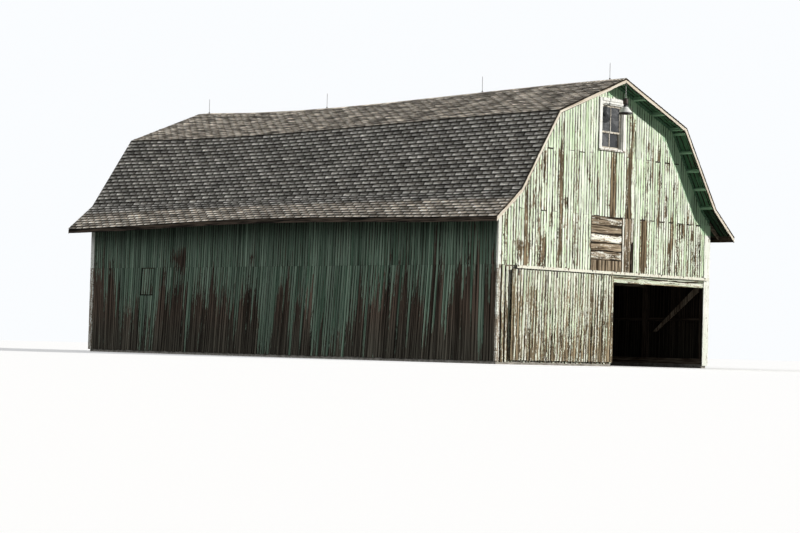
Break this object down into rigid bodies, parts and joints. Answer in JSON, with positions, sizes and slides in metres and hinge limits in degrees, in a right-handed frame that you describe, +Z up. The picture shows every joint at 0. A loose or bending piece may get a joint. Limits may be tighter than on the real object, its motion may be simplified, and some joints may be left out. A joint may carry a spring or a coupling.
{
  "type": "barn",
  "caption": "Timber barn with a sagging gambrel roof flared at the eaves, boarded walls, a hay loft with a gable window, and a door that slides along a track beside its doorway.",
  "frame": {"origin": "on the ground at the centre of the plan", "axes": "+X across the gable, to the right as seen from the front, +Y along the ridge towards the rear, +Z up; the front gable faces -Y"},
  "size_m": [9.63, 16.6369, 7.7382],
  "materials": {
    "concrete": "rough concrete",
    "frame_timber": "rough sawn, aged brown",
    "loft_board": "rough sawn boards",
    "roof_board": "dark green paint below",
    "upper_shingle": "weathered asphalt shingle, tan brown",
    "lower_shingle": "weathered asphalt shingle, dark grey",
    "flare_shingle": "weathered asphalt shingle, brown",
    "rake_paint": "cream paint",
    "trim_paint": "worn white paint",
    "fascia_wood": "dark weathered wood",
    "gable_paint": "pale green paint, peeling to brown wood",
    "side_paint": "dark green paint, peeling in streaks",
    "bare_board": "bare weathered boards",
    "window_glass": "dusty window glass",
    "track_steel": "weathered galvanised steel",
    "dark_iron": "dark iron",
    "lamp_steel": "worn enamel"
  },
  "bodies": {
    "barn": {"footing": "concrete", "sills": "frame_timber", "posts": "frame_timber", "wall_plates": "frame_timber", "wall_girts": "frame_timber", "inner_frame": "frame_timber", "loft_beams": "frame_timber", "loft_floor": "loft_board", "corner_braces": "frame_timber", "gable_framing": "frame_timber", "rafters": "frame_timber", "rafter_ties": "frame_timber", "sprockets": "frame_timber", "upper_purlins": "frame_timber", "lower_purlins": "frame_timber", "lookouts": "roof_board", "roof_boards": "roof_board", "upper_shingles": "upper_shingle", "lower_shingles": "lower_shingle", "flare_shingles": "flare_shingle", "ridge_cap": "upper_shingle", "rake_boards": "rake_paint", "eave_fascias": "fascia_wood", "friezes": "gable_paint", "left_wall": "side_paint", "right_wall": "side_paint", "side_hatch": "side_paint", "front_wall": "gable_paint", "front_gable": "gable_paint", "rear_wall": "gable_paint", "rear_gable": "gable_paint", "corner_boards": "trim_paint", "window_frame": "trim_paint", "window_sashes": "trim_paint", "window_glass": "window_glass", "hay_door_boards": "bare_board", "door_track": "track_steel", "track_brackets": "dark_iron", "lamp_arm": "lamp_steel", "lamp_shade": "lamp_steel", "lightning_rods": "dark_iron"},
    "sliding_door": {"door_boards": "gable_paint", "door_ledges": "frame_timber", "door_trolleys": "dark_iron", "door_pull": "dark_iron"}
  },
  "joints": [
    {"name": "door_slide", "type": "slide", "parent": "barn", "child": "sliding_door", "axis": [1, 0, 0], "range_m": [0, 3.93]}
  ]
}
